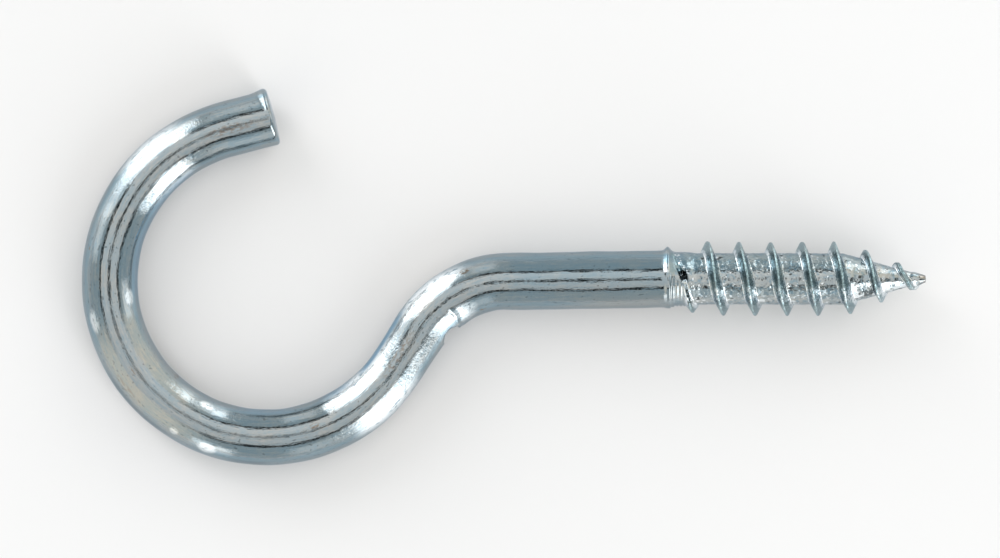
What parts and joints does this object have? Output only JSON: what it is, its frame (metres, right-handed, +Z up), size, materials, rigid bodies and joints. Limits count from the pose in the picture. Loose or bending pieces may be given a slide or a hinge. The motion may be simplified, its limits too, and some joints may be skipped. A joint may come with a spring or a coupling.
{
  "type": "screw hook",
  "caption": "Zinc-plated steel wire screw hook: open round ring on a cranked neck, plain shank, coarse right-hand screw thread and tapered point, for timber or a wall plug.",
  "frame": {"origin": "middle of the hook's box in plan, on the ground that the hook lies on", "axes": "+X along the screw axis towards the point, which rises by 0.85 degrees as the hook lies; +Y towards the ring's mouth; +Z up from the ground"},
  "size_m": [0.08, 0.0358, 0.0072],
  "materials": {
    "zinc_plate": "bright zinc plate over drawn steel wire, faint draw lines, satin gloss"
  },
  "bodies": {
    "root": {"screw_hook": "zinc_plate"}
  },
  "joints": []
}
